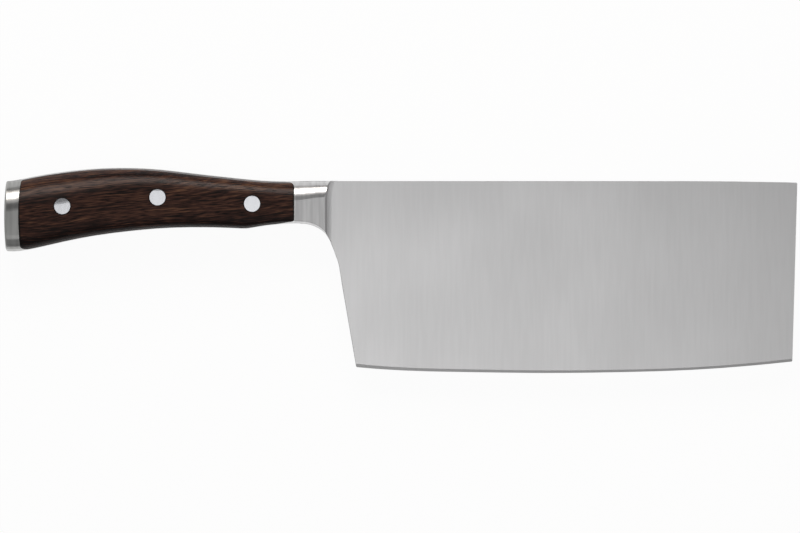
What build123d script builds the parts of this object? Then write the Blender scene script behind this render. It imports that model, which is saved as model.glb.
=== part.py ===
import os
from math import radians, tan

from build123d import *

# The cleaver lies on its left cheek: +X runs along the blade to the tip, +Y from the edge to the back, and
# +Z up through the thickness. The origin is under the middle of the whole outline. Lengths are millimetres.

# Blade
blade_length = 180.0  # heel corner to tip
blade_depth = 78.3  # back to the lowest point of the edge
heel_setback = 12.5  # bolster's front line to the heel corner
back_thickness = 2.6  # at the bolster
edge_thickness = 0.62  # behind the ground edge, near the heel
tip_taper = 0.2  # thickness lost between the bolster and the tip
edge_angle = 13.0  # degrees ground on each side
edge_land = 0.06  # left by the grinding at the very edge
broken_edge = 0.2  # small flats round the outline, but not along the edge
corner_radius = 0.6  # heel and tip corners
tip_droop = 0.6  # how far the back falls towards the tip

# Finger curve, from the bolster's underside to the straight of the heel
finger_run = 17.7
finger_drop = 29.1
finger_lead = 10.3  # how far it starts behind the bolster's front line

# Handle: the butt cap, scales, tang and bolster are ground together to one form
handle_length = 130.85  # butt to the bolster's front line
hump_rise = 5.45  # highest point of the handle above the blade's back
butt_depth = 28.6  # lowest point of the butt below the blade's back
grip_thickness = 18.6  # at its thickest
strip_width = 1.0  # narrow flat along the handle's back and belly
back_shoulder = 12.5  # turn from the cheek to the handle's back, at the butt
belly_shoulder = 6.5  # turn from the cheek to the belly, at the butt
shoulder_sweep = 58.0  # degrees that each turn is rounded
side_slope = 0.85  # width left from there to the flat
butt_dome_radius = 160.0
butt_rim = 1.0  # bevel round the butt
bolster_edge = 0.35  # rounding of the bolster's front line
front_turn = 8.0  # depth below the blade's back where that line starts to bend towards the tip
front_bend = 25.0  # radius of the bend
front_sweep = 24.0  # degrees that it is carried on, past the back
run_slope = 84.0  # degrees at which the run falls from the line towards the blade
run_sweep = 0.7  # length of the run, to where it turns into a faint tail
tail_slope = 17.0  # degrees at that turn
tail_rise = 0.35  # height above the flank there

# Joints between the pieces
tang_thickness = 3.0
cap_length = 5.95  # butt to the wood, halfway down the handle
cap_bow = 0.8  # how far the wood's rear end bows into the cap
bolster_length = 12.7  # seam between wood and bolster to the bolster's front line
rear_corner_radius = 1.5
front_back_radius = 2.2
front_belly_radius = 1.0
rear_inset = 0.6  # metal left between the wood's rear corners and the handle's outline
rear_runout = 3.0  # length in which that metal runs out
back_inset = 0.6  # the same at the wood's front, on the back
back_runout = 11.4
belly_inset = 0.9  # and on the belly
belly_runout = 19.6
tenon_length = 3.0
tenon_depth = 9.0
fit_clearance = 0.05

# Rivets
head_diameter = 6.5
head_depth = 2.4
tube_diameter = 4.6
pin_diameter = 3.0
pin_gap = 1.0  # between the pin's end and the far head
rivet_names = ["rear", "middle", "front"]
rivet_place_shares = [0.1825, 0.4784, 0.7722]  # of the handle's length, from the butt
rivet_fall_shares = [0.360, 0.234, 0.325]  # of the butt's depth, below the blade's back

overrun = 1.0  # how far cuts pass the faces that they open

# Handle sections from the butt's rim to the blade: place as a share of the way to the bolster's front line,
# back as a share of the hump's rise, belly as a share of the butt's depth, half thickness as a share of the
# thickest one, and the two turns as shares of those at the butt
handle_shares = [
    (0.000, 0.00, 0.998, 0.94, 1.00, 1.00),
    (0.028, 0.08, 1.000, 0.96, 1.00, 1.00),
    (0.078, 0.32, 0.967, 0.98, 1.02, 0.98),
    (0.151, 0.62, 0.893, 0.99, 1.06, 0.95),
    (0.244, 0.88, 0.804, 0.998, 1.00, 0.89),
    (0.357, 1.00, 0.729, 0.998, 0.84, 0.81),
    (0.483, 0.87, 0.675, 0.98, 0.71, 0.73),
    (0.608, 0.52, 0.660, 0.94, 0.64, 0.63),
    (0.721, 0.23, 0.674, 0.89, 0.58, 0.51),
    (0.752, 0.15, 0.676, 0.87, 0.57, 0.47),
    (0.789, 0.07, 0.650, 0.85, 0.57, 0.42),
    (0.846, 0.00, 0.617, 0.81, 0.60, 0.35),
    (0.915, 0.00, 0.603, 0.77, 0.63, 0.18),
    (0.953, 0.02, 0.624, 0.74, 0.58, 0.16),
    (0.978, 0.02, 0.673, 0.72, 0.55, 0.155),
    (1.003, 0.02, 0.772, 0.71, 0.52, 0.155),
    (1.040, 0.02, 1.190, 0.70, 0.49, 0.155),
]

# Edge from the tip to the heel, as shares of the blade's length and depth
edge_shares = [
    (0.989, 0.940),
    (0.883, 0.964),
    (0.758, 0.984),
    (0.600, 0.9955),
    (0.429, 1.000),
    (0.259, 0.9955),
    (0.100, 0.986),
    (0.000, 0.969),
]
droop_start_share = 0.75  # of the blade's length, where the back starts to fall

# Finger curve between its two ends, as shares of its run and drop
finger_shares = [(0.324, 0.036), (0.600, 0.158), (0.743, 0.327), (0.844, 0.494)]

overall_length = handle_length + heel_setback + blade_length
butt_x = -overall_length / 2
back_y = (blade_depth - hump_rise) / 2
middle_z = grip_thickness / 2
middle_plane = Plane((0, 0, middle_z))
side_plane = Plane((butt_x, back_y, middle_z))
plan_plane = Plane((butt_x, back_y, middle_z), x_dir=(1, 0, 0), z_dir=(0, -1, 0))
heel_place = handle_length + heel_setback
tang_start = cap_length + cap_bow
seam_place = handle_length - bolster_length


def across(place):
    """Plane square to the knife, this far from the butt: x up to the back, y through the thickness."""
    return Plane((butt_x + place, back_y, middle_z), x_dir=(0, 1, 0), z_dir=(1, 0, 0))


handle_stations = [
    (
        butt_rim + place * (handle_length - butt_rim),
        back * hump_rise,
        -belly * butt_depth,
        half * grip_thickness / 2,
        back_width * back_shoulder,
        belly_width * belly_shoulder,
    )
    for place, back, belly, half, back_width, belly_width in handle_shares
]


def handle_at(place, column):
    """One measure of the handle form, between the two sections beside this place."""
    for near, far in zip(handle_stations, handle_stations[1:]):
        if near[0] <= place <= far[0]:
            share = (place - near[0]) / (far[0] - near[0])
            return near[column] + share * (far[column] - near[column])


def back_at(place):
    return handle_at(place, 1)


def belly_at(place):
    return handle_at(place, 2)


def half_at(place):
    return handle_at(place, 3)


def handle_section(place, back, belly, half, back_width, belly_width):
    """Section of the handle: two cheeks, rounded on both sides down to a steep slope and a narrow flat."""
    back_corner = (back - side_slope, half - (back_width - side_slope) * tan(radians(shoulder_sweep / 2)))
    belly_corner = (belly + side_slope, half - (belly_width - side_slope) * tan(radians(shoulder_sweep / 2)))
    with BuildSketch(across(place)) as section:
        with BuildLine():
            Polyline((belly, 0), (belly, strip_width / 2), belly_corner)
            TangentArc((belly + belly_width, half), belly_corner, tangent=(-1, 0))
            Line((belly + belly_width, half), (back - back_width, half))
            TangentArc((back - back_width, half), back_corner, tangent=(1, 0))
            Polyline(back_corner, (back, strip_width / 2), (back, 0))
            mirror(about=Plane.XZ)
        make_face()
    return section.sketch


# Handle form, trimmed just above the blade's back ahead of the bolster's front line, and with a bevelled rim
# and a domed face at the butt
butt_middle = (back_at(butt_rim) + belly_at(butt_rim)) / 2
with BuildPart(side_plane) as butt_dome:
    with Locations((0, butt_middle, 0)):
        Box(4 * butt_rim, 2 * butt_depth, 2 * grip_thickness)
    with Locations((butt_dome_radius, butt_middle, 0)):
        Sphere(butt_dome_radius, mode=Mode.SUBTRACT)

with BuildPart() as handle_form:
    loft([handle_section(*station) for station in handle_stations])
    with BuildSketch(side_plane):
        with Locations((handle_length, back_at(handle_length))):
            Rectangle(bolster_length, hump_rise, align=(Align.MIN, Align.MIN))
    extrude(amount=grip_thickness, both=True, mode=Mode.SUBTRACT)
    place, back, belly, half, back_width, belly_width = handle_stations[0]
    rim_section = handle_section(place, back, belly, half, back_width, belly_width)
    inset = 2 * butt_rim
    inner_section = handle_section(
        -place, back - inset, belly + inset, half - inset, back_width - inset, belly_width - inset
    )
    loft([inner_section, rim_section], ruled=True)
    add(butt_dome.part, mode=Mode.SUBTRACT)

# Room for each scale: its outline, seen from the side, cut outward from the tang on both faces
rear_back = (tang_start, back_at(tang_start) - rear_inset)
rear_belly = (tang_start, belly_at(tang_start) + rear_inset)
rear_middle = (cap_length, (back_at(tang_start) + belly_at(tang_start)) / 2)
rear_end = tang_start + rear_runout
front_back = (seam_place, back_at(seam_place) - back_inset)
front_belly = (seam_place, belly_at(seam_place) + belly_inset)
back_end = seam_place - back_runout
belly_end = seam_place - belly_runout
above = hump_rise + overrun
below = -butt_depth - overrun
scale_corners = [
    (rear_back, rear_corner_radius),
    (rear_belly, rear_corner_radius),
    (front_back, front_back_radius),
    (front_belly, front_belly_radius),
]
with BuildPart() as scale_rooms:
    with BuildSketch(side_plane.offset(tang_thickness / 2)) as scale_outline:
        with BuildLine():
            ThreePointArc(rear_belly, rear_middle, rear_back)
            Polyline(rear_back, (rear_end, back_at(rear_end)), (rear_end, above), (back_end, above))
            Polyline((back_end, above), (back_end, back_at(back_end)), front_back, front_belly)
            Polyline(front_belly, (belly_end, belly_at(belly_end)), (belly_end, below), (rear_end, below))
            Polyline((rear_end, below), (rear_end, belly_at(rear_end)), rear_belly)
        make_face()
        for corner, radius in scale_corners:
            fillet(scale_outline.vertices().sort_by_distance(corner)[0], radius)
    extrude(amount=grip_thickness / 2)
    mirror(about=middle_plane)

# Right flank of the blade, a plane that thins to the edge and a little to the tip
root_place = handle_length - finger_lead
flank_corner = side_plane.from_local_coords((root_place, 0, back_thickness / 2))
flank_tip = side_plane.from_local_coords((overall_length, 0, (back_thickness - tip_taper) / 2))
flank_foot = side_plane.from_local_coords((root_place, -blade_depth, edge_thickness / 2))
flank_normal = (flank_foot - flank_corner).cross(flank_tip - flank_corner)
flank_plane = Plane(flank_corner, x_dir=flank_tip - flank_corner, z_dir=flank_normal)

# Run from the bolster's rounded front line down to the flanks: steep, then a faint tail, on both sides. The
# line is straight over the cheek and bends towards the tip under the back.
run_height = grip_thickness / 2
run_rear = Vector(-bolster_edge, half_at(handle_length - bolster_edge) - back_thickness / 2)
run_start = Vector(0, run_rear.Y - bolster_edge * tan(radians(run_slope / 2)))
run_turn = Vector(run_sweep, tail_rise)
run_fall = Vector(1, -tan(radians(run_slope)))
tail_fall = Vector(1, -tan(radians(tail_slope)))
run_drop = run_start.Y - run_turn.Y + tail_fall.Y * run_sweep
run_middle = run_start + run_fall * (run_drop / (tail_fall.Y - run_fall.Y))
tail_length = (tail_rise + fit_clearance) / tan(radians(tail_slope / 2))
tail_end = Vector(run_sweep + tail_length, -fit_clearance)
with BuildPart() as bolster_run:
    with BuildLine(flank_plane) as run_path:
        Line((finger_lead, -2 * butt_depth), (finger_lead, -front_turn))
        CenterArc((finger_lead + front_bend, -front_turn), front_bend, 180, -front_sweep)
    with BuildSketch(Plane(run_path.wires()[0] @ 0, x_dir=flank_plane.x_dir, z_dir=-flank_plane.y_dir)):
        with BuildLine():
            TangentArc(run_rear, run_start, tangent=(1, 0))
            Bezier(run_start, run_middle, run_turn)
            TangentArc(run_turn, tail_end, tangent=tail_fall)
            Polyline(tail_end, (finger_lead, -fit_clearance), (finger_lead, run_height))
            Polyline((finger_lead, run_height), (run_rear.X, run_height), run_rear)
        make_face()
    sweep(path=run_path.wires()[0])
    mirror(about=middle_plane)

# Ground edge: what the wheel takes off each flank along the edge, and past both its ends
edge_points = [
    (heel_place + place * blade_length, -depth * blade_depth) for place, depth in edge_shares
]
edge_slope = tan(radians(edge_angle))
grind_height = edge_thickness / edge_slope
with BuildPart() as edge_grind:
    with BuildLine(side_plane) as edge_path:
        edge_curve = Spline(edge_points)
        Line(edge_curve @ 1, edge_curve @ 1 + overrun * (edge_curve % 1))
        Line(edge_curve @ 0 - overrun * (edge_curve % 0), edge_curve @ 0)
    path_start = edge_curve @ 0 - overrun * (edge_curve % 0)
    with BuildSketch(Plane(path_start, x_dir=(0, 0, 1), z_dir=edge_curve % 0)):
        Polygon(
            (edge_land / 2 - overrun * edge_slope, -overrun),
            (edge_land / 2 + grind_height * edge_slope, grind_height),
            (back_thickness, grind_height),
            (back_thickness, -overrun),
            align=None,
        )
    sweep(path=edge_path.wires()[0])
    mirror(about=middle_plane)

# Finger curve behind the heel, and the straight of the heel below it
finger_start = (root_place, belly_at(root_place))
finger_points = [
    (root_place + run_share * finger_run, finger_start[1] - drop_share * finger_drop)
    for run_share, drop_share in [(0, 0), *finger_shares, (1, 1)]
]
heel_corner = Vector(edge_points[-1])
heel_line = heel_corner - Vector(finger_points[-1])
finger_tangents = [(1, 0), (heel_line.X, heel_line.Y)]
with BuildPart() as finger_cut:
    with BuildSketch(side_plane):
        with BuildLine():
            Spline(finger_points, tangents=finger_tangents)
            Line(finger_points[-1], heel_corner)
            Polyline(heel_corner, (root_place, heel_corner.Y), finger_start)
        make_face()
    extrude(amount=grip_thickness / 2, both=True)

# Rivet places on the side plane, with the height of each head's seat above the middle
rivet_places = [
    (place_share * handle_length, fall_share * butt_depth)
    for place_share, fall_share in zip(rivet_place_shares, rivet_fall_shares)
]
rivet_seats = [half_at(place) - head_depth for place, fall in rivet_places]
tube_hole_radius = tube_diameter / 2 + fit_clearance

# Bolster and tang, as they are left once the scales' rooms and the butt cap's place are cut away
with BuildPart() as grip:
    add(handle_form.part)
    add(bolster_run.part, mode=Mode.SUBTRACT)
    add(finger_cut.part, mode=Mode.SUBTRACT)
    add(scale_rooms.part, mode=Mode.SUBTRACT)
    with BuildSketch(plan_plane):
        with GridLocations(0, grip_thickness + tang_thickness, 1, 2):
            Rectangle(handle_length, grip_thickness)
        with Locations(((tang_start - overrun) / 2, 0)):
            Rectangle(tang_start + overrun, 2 * grip_thickness)
    extrude(amount=2 * butt_depth, both=True, mode=Mode.SUBTRACT)
    with BuildSketch(across(tang_start)):
        with Locations(((back_at(tang_start) + belly_at(tang_start)) / 2, 0)):
            Rectangle(tenon_depth, tang_thickness)
    extrude(amount=-tenon_length)

# Blade, forged in one with the bolster and the tang
droop_start = (heel_place + droop_start_share * blade_length, 0)
upper_tip = (overall_length, -tip_droop)
with BuildPart() as blade:
    with BuildSketch(side_plane) as blade_outline:
        with BuildLine():
            Line((root_place, 0), droop_start)
            TangentArc(droop_start, upper_tip, tangent=(1, 0))
            Line(upper_tip, edge_points[0])
            Spline(edge_points)
            Line(heel_corner, finger_points[-1])
            Spline(finger_points, tangents=finger_tangents)
            Line(finger_start, (root_place, 0))
        make_face()
        for corner in [upper_tip, edge_points[0], heel_corner]:
            fillet(blade_outline.vertices().sort_by_distance(corner)[0], corner_radius)
    extrude(amount=back_thickness, both=True)
    split(bisect_by=flank_plane, keep=Keep.BOTTOM)
    mirror(about=middle_plane, mode=Mode.INTERSECT)
    for flank in [blade.faces().sort_by(Axis.Z)[-1], blade.faces().sort_by(Axis.Z)[0]]:
        rim = flank.edges().sort_by(Axis.Y)[1:].sort_by(Axis.X)[1:]
        chamfer(rim, broken_edge)
    add(grip.part)
    add(edge_grind.part, mode=Mode.SUBTRACT)
    for place, fall in rivet_places:
        with BuildSketch(side_plane):
            with Locations((place, -fall)):
                Circle(tube_hole_radius)
        extrude(amount=tang_thickness, both=True, mode=Mode.SUBTRACT)
blade.part.label = "blade"

# Butt cap
with BuildPart() as butt_cap:
    add(handle_form.part)
    add(scale_rooms.part, mode=Mode.SUBTRACT)
    with BuildSketch(plan_plane):
        with Locations((rear_end + handle_length, 0)):
            Rectangle(2 * handle_length, 2 * grip_thickness)
        with Locations((tang_start + handle_length, 0)):
            Rectangle(2 * handle_length, tang_thickness)
    extrude(amount=2 * butt_depth, both=True, mode=Mode.SUBTRACT)
    with BuildSketch(across(tang_start)):
        with Locations(((back_at(tang_start) + belly_at(tang_start)) / 2, 0)):
            Rectangle(tenon_depth + 2 * fit_clearance, tang_thickness + 2 * fit_clearance)
    extrude(amount=-tenon_length - fit_clearance, mode=Mode.SUBTRACT)
butt_cap.part.label = "butt_cap"

# Scales, with a hole and a head's pocket for each rivet
with BuildPart() as right_scale:
    add(handle_form.part)
    add(scale_rooms.part.solids().sort_by(Axis.Z)[-1], mode=Mode.INTERSECT)
    for (place, fall), seat in zip(rivet_places, rivet_seats):
        with BuildSketch(side_plane):
            with Locations((place, -fall)):
                Circle(tube_hole_radius)
        extrude(amount=grip_thickness, mode=Mode.SUBTRACT)
        with BuildSketch(side_plane.offset(seat)):
            with Locations((place, -fall)):
                Circle(head_diameter / 2 + fit_clearance)
        extrude(amount=grip_thickness, mode=Mode.SUBTRACT)
right_scale.part.label = "right_scale"

with BuildPart() as left_scale:
    add(right_scale.part)
    mirror(about=middle_plane, mode=Mode.REPLACE)
left_scale.part.label = "left_scale"

# Rivets: a headed tube from the right, and a headed pin from the left that is pressed into it
rivets = []
for name, (place, fall), seat in zip(rivet_names, rivet_places, rivet_seats):
    with BuildPart() as head:
        with BuildSketch(side_plane.offset(seat)):
            with Locations((place, -fall)):
                Circle(head_diameter / 2)
        extrude(amount=grip_thickness)
        add(handle_form.part, mode=Mode.INTERSECT)
    with BuildPart() as female:
        add(head.part)
        with BuildSketch(side_plane.offset(seat)):
            with Locations((place, -fall)):
                Circle(tube_diameter / 2)
                Circle(pin_diameter / 2 + fit_clearance, mode=Mode.SUBTRACT)
        extrude(amount=fit_clearance - 2 * seat)
    with BuildPart() as male:
        add(head.part)
        mirror(about=middle_plane, mode=Mode.REPLACE)
        with BuildSketch(side_plane.offset(-seat)):
            with Locations((place, -fall)):
                Circle(pin_diameter / 2)
        extrude(amount=2 * seat - pin_gap)
    female.part.label = name + "_rivet_female"
    male.part.label = name + "_rivet_male"
    rivets += [female.part, male.part]

os.makedirs("parts", exist_ok=True)
for piece in [blade.part, butt_cap.part, right_scale.part, left_scale.part, *rivets]:
    export_step(piece, f"parts/{piece.label}.step")
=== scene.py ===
from math import pi

import bpy
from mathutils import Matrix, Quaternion, Vector


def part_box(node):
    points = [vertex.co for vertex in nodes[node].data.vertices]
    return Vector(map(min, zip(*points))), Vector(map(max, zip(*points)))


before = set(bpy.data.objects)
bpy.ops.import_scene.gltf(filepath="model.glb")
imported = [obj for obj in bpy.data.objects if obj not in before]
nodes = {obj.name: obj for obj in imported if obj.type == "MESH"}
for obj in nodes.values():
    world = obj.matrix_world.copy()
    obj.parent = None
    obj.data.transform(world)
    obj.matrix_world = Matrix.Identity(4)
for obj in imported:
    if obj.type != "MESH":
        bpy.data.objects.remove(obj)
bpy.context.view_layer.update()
rivets = [name for name in nodes if "rivet" in name]

MM = 0.001
WHITE = (1.0, 1.0, 1.0, 1.0)

# Camera. The photograph looks straight down on the right cheek.
PHOTO_WIDTH_M = 0.32653  # what its frame takes in from left to right, at the blade's middle
CAMERA_SPOT = Vector((-0.00045, 0.0016))
CAMERA_HEIGHT = 2.4  # above the blade's middle
CLIP_START, CLIP_END = 0.1, 100.0
SENSOR = 36.0
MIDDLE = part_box("blade")[0].z / 2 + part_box("blade")[1].z / 2

# Ranges that nearly all noise is in
NOISE_RANGE = (0.3, 0.7)
WIDE_NOISE_RANGE = (0.25, 0.75)

# Steel. The cells of a noise, here and below, are counted per metre along X, Y and Z.
BOLSTER_FRONT = -0.0308  # the bolster's front line, along X
FINISH_BLUR = 0.4 * MM  # to each side of that line, where the finish changes
FINE_LINES = (9000.0, 90.0, 400.0)
COARSE_LINES = (1700.0, 40.0, 200.0)
FINE_SHARE, COARSE_SHARE = 0.6, 0.4
BRUSH_BANDS = (850.0, 60.0, 150.0)
BLADE_CALM = 0.85  # share of the bands that the blade goes without
CLOUDS = (30.0, 24.0, 24.0)
LINE_SHARE, CLOUD_SHARE = 0.5, 0.5
HAZE = 0.015  # change of brightness by lines and clouds
WEAR = 0.015  # change of roughness by clouds
HANDLE_WEAR = 0.06  # roughness added behind the bolster's front line
SPREAD_LEAN = 0.25  # lean of the spread to Z, so that faces square to X have a direction too

# Wood. The grain rises a little towards the bolster.
GRAIN_TURN = -0.1
WANDER_CELLS = (18.0, 60.0, 60.0)
WANDER = 5 * MM
BAND_CELLS = (6.0, 170.0, 120.0)
GRAIN_CELLS = (36.0, 1700.0, 1250.0)
PORE_CELLS = (200.0, 2600.0, 1900.0)
BAND_SHARE, GRAIN_SHARE, PORE_SHARE = 0.55, 0.85, 0.75
TONE_DROP = 0.585  # puts the middle of the tones on the middle of the colours
TONES = [
    (0.30, (0.0040, 0.0011, 0.0008)),
    (0.40, (0.0150, 0.0048, 0.0028)),
    (0.51, (0.0340, 0.0125, 0.0085)),
    (0.62, (0.0630, 0.0270, 0.0160)),
    (0.78, (0.1050, 0.0500, 0.0260)),
]
PORE_RANGE = (0.4, 0.3)  # noise at which a pore starts, and at which it is deepest
PORE_DARKNESS = 0.8
PORE_COLOUR = (0.003, 0.0013, 0.001, 1.0)
PORE_ROUGHNESS = 0.3
WOOD_SPECULAR = 0.15
WOOD_BUMP, WOOD_BUMP_DEPTH, GRAIN_RELIEF = 0.5, 0.03 * MM, 0.5

# The wood's dark vein, an arch under the hump
HUMP_X, VEIN_Y = -0.104, 0.0421
VEIN_CURVE = -2.0
VEIN_EDGE, VEIN_CORE = 1.5 * MM, 0.3 * MM
VEIN_END, VEIN_FULL = 45 * MM, 20 * MM  # along the arch from its top
VEIN_BREAKS = (0.3, 0.6, 0.5, 1.0)  # from this range of the bands to this range of strength
VEIN_DARKNESS = 0.18

# Painted shade on the wood, darker towards the bottom of the handle
BELLY_LEAN = 0.03
BELLY_FULL, BELLY_END = 23 * MM, 29 * MM
BELLY_PAINTED_SHADE = 0.19

# Painted shadow of the gaps, with a dark glue line, where the wood meets the rivets, the bolster and the butt
# cap
RIVET_SEAM_END, RIVET_SEAM_FULL = 0.6 * MM, 0.25 * MM
END_SEAM_END, END_SEAM_FULL = 0.8 * MM, 0.35 * MM
REAR_END_MIDDLE, REAR_END_REACH, REAR_END_BOW = 25.4 * MM, 15.5 * MM, 0.8 * MM
GAP_SHADOW_AND_GLUE_DARKNESS = 0.85
GAP_SHADOW_AND_GLUE_COLOUR = (0.0025, 0.0015, 0.0012, 1.0)

# The wood is sanded on the cheeks, polished round the back and belly, and dull on the steep belly. The ranges
# are parts of the faces' normal.
CHEEK_RANGE, CHEEK_ROUGHNESS, POLISHED_ROUGHNESS = (0.93, 0.995), 0.55, 0.26
STEEP_RANGE, STEEP_DULLNESS = (-0.954, -0.866), 0.4

# Floor and world
FLOOR_SIZE = 40.0
FLOOR_DROP = 0.2 * MM
FLOOR_COLOUR = (0.9, 0.9, 0.9, 1.0)
FLOOR_GLOW = 0.95  # share of white that the rays for the background see
WALL_RANGE, WALL_LEVEL = (0.25, 0.7), 0.3
BACK_FALL = -0.12
CEILING_RANGE, CEILING_LEVELS, CEILING_LEAST = (0.0, 0.6), (0.1, 0.24), 0.1
HORIZON_RANGE, HORIZON_LEVEL = (0.0, 0.03), 1.0


# Node helpers
def add(tree, kind, inputs=None, **settings):
    """A new node with its settings, and its inputs linked or filled in."""
    made = tree.nodes.new(kind)
    for name, value in settings.items():
        setattr(made, name, value)
    for name, value in (inputs or {}).items():
        if isinstance(value, bpy.types.NodeSocket):
            tree.links.new(value, made.inputs[name])
        else:
            made.inputs[name].default_value = value
    return made


def calculate(tree, operation, *values):
    """The values taken together by one operation, from the first to the last."""
    whole = values[0]
    for value in values[1:]:
        whole = add(tree, "ShaderNodeMath", {0: whole, 1: value}, operation=operation).outputs[0]
    return whole


def plus(tree, *values):
    return calculate(tree, "ADD", *values)


def minus(tree, *values):
    return calculate(tree, "SUBTRACT", *values)


def times(tree, *values):
    return calculate(tree, "MULTIPLY", *values)


def greatest(tree, *values):
    return calculate(tree, "MAXIMUM", *values)


def unsigned(tree, value):
    """The value without its sign."""
    return add(tree, "ShaderNodeMath", {0: value}, operation="ABSOLUTE").outputs[0]


def axes_of(tree, vector):
    """The vector's parts, under the names X, Y and Z."""
    return add(tree, "ShaderNodeSeparateXYZ", {0: vector}).outputs


def span(tree, value, low, high, to_low=0.0, to_high=1.0):
    """The value carried from one range to another, smoothly and held at its ends."""
    return add(
        tree,
        "ShaderNodeMapRange",
        {"Value": value, "From Min": low, "From Max": high, "To Min": to_low, "To Max": to_high},
        interpolation_type="SMOOTHSTEP",
    ).outputs["Result"]


def noise(tree, place, cells, detail, roughness=0.5):
    """Noise between 0 and 1."""
    mapped = add(tree, "ShaderNodeMapping", {"Vector": place, "Scale": cells})
    return add(
        tree,
        "ShaderNodeTexNoise",
        {"Vector": mapped.outputs[0], "Scale": 1.0, "Detail": detail, "Roughness": roughness},
    ).outputs["Fac"]


def blend(tree, share, first, second):
    """A colour between two. These numbers are the places of the colour sockets, which share their names."""
    return add(tree, "ShaderNodeMix", {0: share, 6: first, 7: second}, data_type="RGBA").outputs[2]


def clear_tree(owner):
    owner.use_nodes = True
    owner.node_tree.nodes.clear()
    return owner.node_tree


def material(name):
    made = bpy.data.materials.new(name)
    tree = clear_tree(made)
    surface = add(tree, "ShaderNodeBsdfPrincipled")
    add(tree, "ShaderNodeOutputMaterial", {"Surface": surface.outputs[0]})
    return made, tree, surface


def dress(made, *names):
    for name in names:
        for slot in nodes[name].material_slots:
            slot.material = made


# Materials
def steel(name, colour, roughness, anisotropy, line_depth, band_strength, handle_painted_shade=1.0):
    """Steel ground with fine lines across the knife, which spread its reflections along the knife.

    Behind the bolster's front line the brightness is scaled down to this share: a painted shade that darkens
    the bolster's steel.
    """
    made, tree, surface = material(name)
    place = add(tree, "ShaderNodeTexCoord").outputs["Object"]
    along = axes_of(tree, place)["X"]
    ahead = span(tree, along, BOLSTER_FRONT - FINISH_BLUR, BOLSTER_FRONT + FINISH_BLUR)
    fine = noise(tree, place, FINE_LINES, detail=2.0)
    coarse = noise(tree, place, COARSE_LINES, detail=2.0)
    streak = plus(tree, times(tree, fine, FINE_SHARE), times(tree, coarse, COARSE_SHARE))
    cloud = noise(tree, place, CLOUDS, detail=2.0)
    bands = noise(tree, place, BRUSH_BANDS, detail=1.0)

    swing = span(tree, bands, *WIDE_NOISE_RANGE, -band_strength, band_strength)
    ripple = times(tree, swing, minus(tree, 1.0, times(tree, ahead, BLADE_CALM)))
    mixed = plus(tree, times(tree, streak, LINE_SHARE), times(tree, cloud, CLOUD_SHARE))
    haze = span(tree, mixed, *NOISE_RANGE, -HAZE, HAZE)
    # painted shade: the bolster behind its front line is darker than the blade
    level = span(tree, ahead, 0.0, 1.0, handle_painted_shade, 1.0)
    shade = times(tree, level, plus(tree, ripple, haze, 1.0))
    tinted = add(tree, "ShaderNodeVectorMath", {0: colour, "Scale": shade}, operation="SCALE")
    tree.links.new(tinted.outputs[0], surface.inputs["Base Color"])

    worn = span(tree, cloud, *NOISE_RANGE, -WEAR, WEAR)
    handled = span(tree, ahead, 0.0, 1.0, HANDLE_WEAR, 0.0)
    tree.links.new(plus(tree, worn, handled, roughness), surface.inputs["Roughness"])

    spread = add(tree, "ShaderNodeCombineXYZ", {"X": 1.0, "Z": SPREAD_LEAN}).outputs[0]
    turned = add(tree, "ShaderNodeVectorTransform", {0: spread}, convert_from="OBJECT", convert_to="WORLD")
    tree.links.new(turned.outputs[0], surface.inputs["Tangent"])
    surface.inputs["Metallic"].default_value = 1.0
    surface.inputs["Anisotropic"].default_value = anisotropy
    bump = add(tree, "ShaderNodeBump", {"Height": streak, "Strength": 1.0, "Distance": line_depth})
    tree.links.new(bump.outputs[0], surface.inputs["Normal"])
    return made


def vein_at(tree, axes, bands):
    """How much a place is in the dark vein, which the bands break up."""
    from_hump = minus(tree, axes["X"], HUMP_X)
    arch = times(tree, from_hump, from_hump, VEIN_CURVE)
    core = span(tree, unsigned(tree, minus(tree, axes["Y"], VEIN_Y, arch)), VEIN_EDGE, VEIN_CORE)
    near = span(tree, unsigned(tree, from_hump), VEIN_END, VEIN_FULL)
    return times(tree, core, near, span(tree, bands, *VEIN_BREAKS))


def gap_shadow_and_glue_at(tree, place):
    """How much a place is in the painted gap shadow and dark glue line round a rivet or at the wood's front
    or rear end.
    """
    flat_place = add(tree, "ShaderNodeVectorMath", {0: place, 1: (1.0, 1.0, 0.0)}, operation="MULTIPLY")
    seams = []
    for rivet in rivets:
        low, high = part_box(rivet)
        centre, radius = (low + high) / 2, (high.x - low.x) / 2
        ends = {0: flat_place.outputs[0], 1: (centre.x, centre.y, 0.0)}
        away = add(tree, "ShaderNodeVectorMath", ends, operation="DISTANCE").outputs["Value"]
        seams.append(span(tree, away, radius + RIVET_SEAM_END, radius + RIVET_SEAM_FULL))
    axes = axes_of(tree, place)
    wood_low, wood_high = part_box("right_scale")
    seams.append(span(tree, axes["X"], wood_high.x - END_SEAM_END, wood_high.x - END_SEAM_FULL))
    offset = calculate(tree, "DIVIDE", minus(tree, axes["Y"], REAR_END_MIDDLE), REAR_END_REACH)
    bow = times(tree, offset, offset, REAR_END_BOW)
    seams.append(span(tree, minus(tree, axes["X"], bow, wood_low.x), END_SEAM_END, END_SEAM_FULL))
    return greatest(tree, *seams)


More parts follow.
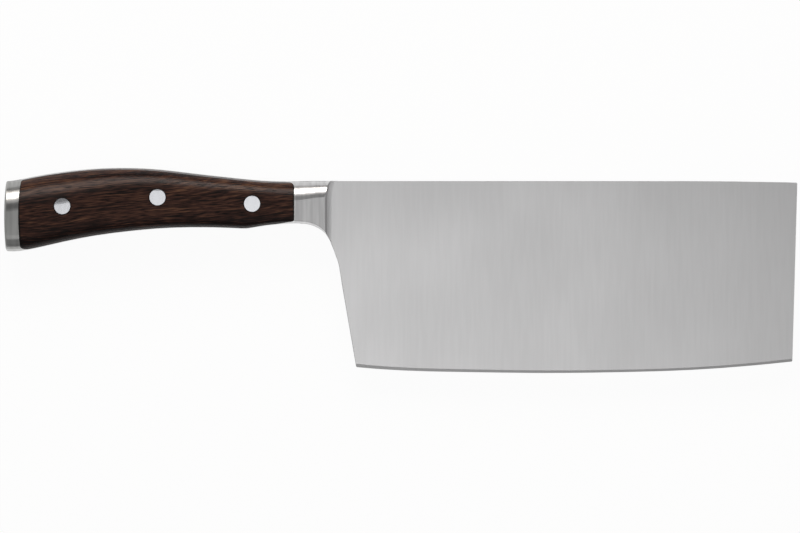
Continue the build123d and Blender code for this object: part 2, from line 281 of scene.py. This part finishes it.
def wood(name):
    """Dense dark wood with streaks and pores, a dark vein under the hump, painted shade towards the belly,
    and painted gap shadow with a dark glue line at the seams.
    """
    made, tree, surface = material(name)
    place = add(tree, "ShaderNodeTexCoord").outputs["Object"]
    stray = times(tree, noise(tree, place, WANDER_CELLS, detail=2.0), WANDER)
    sideways = add(tree, "ShaderNodeCombineXYZ", {"Y": stray}).outputs[0]
    bent = add(tree, "ShaderNodeVectorMath", {0: place, 1: sideways}, operation="ADD").outputs[0]
    slanted = add(tree, "ShaderNodeMapping", {"Vector": bent, "Rotation": (0.0, 0.0, GRAIN_TURN)}).outputs[0]
    bands = noise(tree, slanted, BAND_CELLS, detail=3.0)
    grain = noise(tree, slanted, GRAIN_CELLS, detail=3.0, roughness=0.6)
    pores = noise(tree, slanted, PORE_CELLS, detail=1.0)
    dark_pore = span(tree, pores, *PORE_RANGE, 0.0, PORE_DARKNESS)

    axes = axes_of(tree, bent)
    vein = times(tree, vein_at(tree, axes, bands), VEIN_DARKNESS)
    leaning = minus(tree, axes["Y"], times(tree, axes["X"], BELLY_LEAN))
    # painted shade: the wood grows darker towards the bottom of the handle
    belly = span(tree, leaning, BELLY_FULL, BELLY_END, BELLY_PAINTED_SHADE, 0.0)
    light = plus(
        tree,
        times(tree, bands, BAND_SHARE),
        times(tree, grain, GRAIN_SHARE),
        times(tree, pores, PORE_SHARE),
    )
    ramp = add(tree, "ShaderNodeValToRGB", {"Fac": minus(tree, light, vein, belly, TONE_DROP)})
    stops = ramp.color_ramp.elements
    while len(stops) < len(TONES):
        stops.new(0.5)
    for stop, (position, colour) in zip(stops, TONES):
        stop.position = position
        stop.color = (*colour, 1.0)
    porous = blend(tree, dark_pore, ramp.outputs[0], PORE_COLOUR)
    # painted shadow of the gaps at the seams, together with a dark glue line
    coloured = blend(tree, times(tree, gap_shadow_and_glue_at(tree, place), GAP_SHADOW_AND_GLUE_DARKNESS), porous, GAP_SHADOW_AND_GLUE_COLOUR)
    tree.links.new(coloured, surface.inputs["Base Color"])

    normal = axes_of(tree, add(tree, "ShaderNodeNewGeometry").outputs["Normal"])
    buffed = span(tree, unsigned(tree, normal["Z"]), *CHEEK_RANGE, POLISHED_ROUGHNESS, CHEEK_ROUGHNESS)
    steep = span(tree, normal["Y"], *STEEP_RANGE, STEEP_DULLNESS, 0.0)
    rough = plus(tree, buffed, steep, times(tree, dark_pore, PORE_ROUGHNESS))
    tree.links.new(rough, surface.inputs["Roughness"])
    surface.inputs["Specular IOR Level"].default_value = WOOD_SPECULAR
    relief = minus(tree, times(tree, grain, GRAIN_RELIEF), dark_pore)
    bump = add(tree, "ShaderNodeBump", {"Height": relief, "Strength": WOOD_BUMP, "Distance": WOOD_BUMP_DEPTH})
    tree.links.new(bump.outputs[0], surface.inputs["Normal"])
    return made


blade_steel = steel(
    "blade_steel",
    colour=(0.59, 0.586, 0.588),
    roughness=0.3,
    anisotropy=0.7,
    line_depth=0.0008 * MM,
    band_strength=0.1,
    handle_painted_shade=0.965,
)
cap_steel = steel(
    "cap_steel",
    colour=(0.36, 0.36, 0.352),
    roughness=0.24,
    anisotropy=0.7,
    line_depth=0.0012 * MM,
    band_strength=0.1,
)
rivet_steel = steel(
    "rivet_steel",
    colour=(0.68, 0.688, 0.715),
    roughness=0.14,
    anisotropy=0.0,
    line_depth=0.0004 * MM,
    band_strength=0.03,
)
dress(blade_steel, "blade")
dress(cap_steel, "butt_cap")
dress(rivet_steel, *rivets)
dress(wood("dark_wood"), "right_scale", "left_scale")


# Floor, world and lamps
def seen(tree):
    """1 for rays that show the background: the camera's, and those in metal and glass."""
    path = add(tree, "ShaderNodeLightPath").outputs
    return greatest(tree, path["Is Camera Ray"], path["Is Glossy Ray"], path["Is Transmission Ray"])


def white_floor():
    """A wide matte floor just under the knife, which keeps the shadow and is white as a background."""
    half = FLOOR_SIZE / 2
    corners = [(-half, -half), (half, -half), (half, half), (-half, half)]
    mesh = bpy.data.meshes.new("floor")
    mesh.from_pydata([(x, y, -FLOOR_DROP) for x, y in corners], [], [(0, 1, 2, 3)])
    paper = bpy.data.materials.new("white_floor")
    tree = clear_tree(paper)
    matte = add(tree, "ShaderNodeBsdfDiffuse", {"Color": FLOOR_COLOUR})
    glow = add(tree, "ShaderNodeEmission", {"Color": WHITE, "Strength": 1.0})
    share = times(tree, seen(tree), FLOOR_GLOW)
    both = add(tree, "ShaderNodeMixShader", {0: share, 1: matte.outputs[0], 2: glow.outputs[0]})
    add(tree, "ShaderNodeOutputMaterial", {"Surface": both.outputs[0]})
    mesh.materials.append(paper)
    return bpy.data.objects.new("floor", mesh)


def studio():
    """A dim room with a bright horizon, and a lighter wall beside the blade's tip."""
    made = bpy.data.worlds.new("studio")
    tree = clear_tree(made)
    direction = axes_of(tree, add(tree, "ShaderNodeTexCoord").outputs["Generated"])
    wall = span(tree, direction["X"], *WALL_RANGE, 0.0, WALL_LEVEL)
    height = span(tree, direction["Z"], *CEILING_RANGE, *CEILING_LEVELS)
    back = times(tree, direction["Y"], BACK_FALL)
    ceiling = greatest(tree, plus(tree, wall, back, height), CEILING_LEAST)
    level = span(tree, direction["Z"], *HORIZON_RANGE, HORIZON_LEVEL, ceiling)
    sky = add(tree, "ShaderNodeBackground", {"Color": WHITE, "Strength": level})
    add(tree, "ShaderNodeOutputWorld", {"Surface": sky.outputs[0]})
    return made


def lamp(name, place, aim, size, radiance, twist=0.0, colour=(1.0, 1.0, 1.0)):
    """A soft rectangular lamp of this radiance, facing a point."""
    data = bpy.data.lights.new(name, "AREA")
    data.color = colour
    data.shape = "RECTANGLE"
    data.size, data.size_y = size
    data.energy = radiance * size[0] * size[1] * pi
    made = bpy.data.objects.new(name, data)
    made.location = place
    made.rotation_mode = "QUATERNION"
    facing = (Vector(place) - Vector(aim)).to_track_quat("Z", "Y")
    made.rotation_quaternion = Quaternion((0.0, 0.0, 1.0), twist) @ facing
    made.visible_camera = False
    bpy.context.scene.collection.objects.link(made)


floor = white_floor()
bpy.context.scene.collection.objects.link(floor)
bpy.context.scene.world = studio()
lamp(
    "key_panel",
    place=(-0.032, -0.197, 1.0),
    aim=(-0.032, -0.197, 0.0),
    size=(0.54, 0.56),
    radiance=1.075,
    twist=0.15,
)
lamp(
    "back_strip",
    place=(-0.1, 0.829, 0.559),
    aim=(-0.1, 0.0, 0.0),
    size=(0.9, 0.48),
    radiance=5.4,
    colour=(1.0, 0.95, 0.9),
)
lamp("back_fade", place=(-0.1, 0.52, 0.73), aim=(-0.1, 0.0, 0.0), size=(0.9, 0.16), radiance=0.7)

camera_data = bpy.data.cameras.new("camera")
camera_data.sensor_width = SENSOR
camera_data.lens = SENSOR * CAMERA_HEIGHT / PHOTO_WIDTH_M
camera_data.clip_start, camera_data.clip_end = CLIP_START, CLIP_END
camera = bpy.data.objects.new("camera", camera_data)
camera.location = (*CAMERA_SPOT, MIDDLE + CAMERA_HEIGHT)
bpy.context.scene.collection.objects.link(camera)
bpy.context.scene.camera = camera
bpy.context.scene.view_settings.view_transform = "Standard"
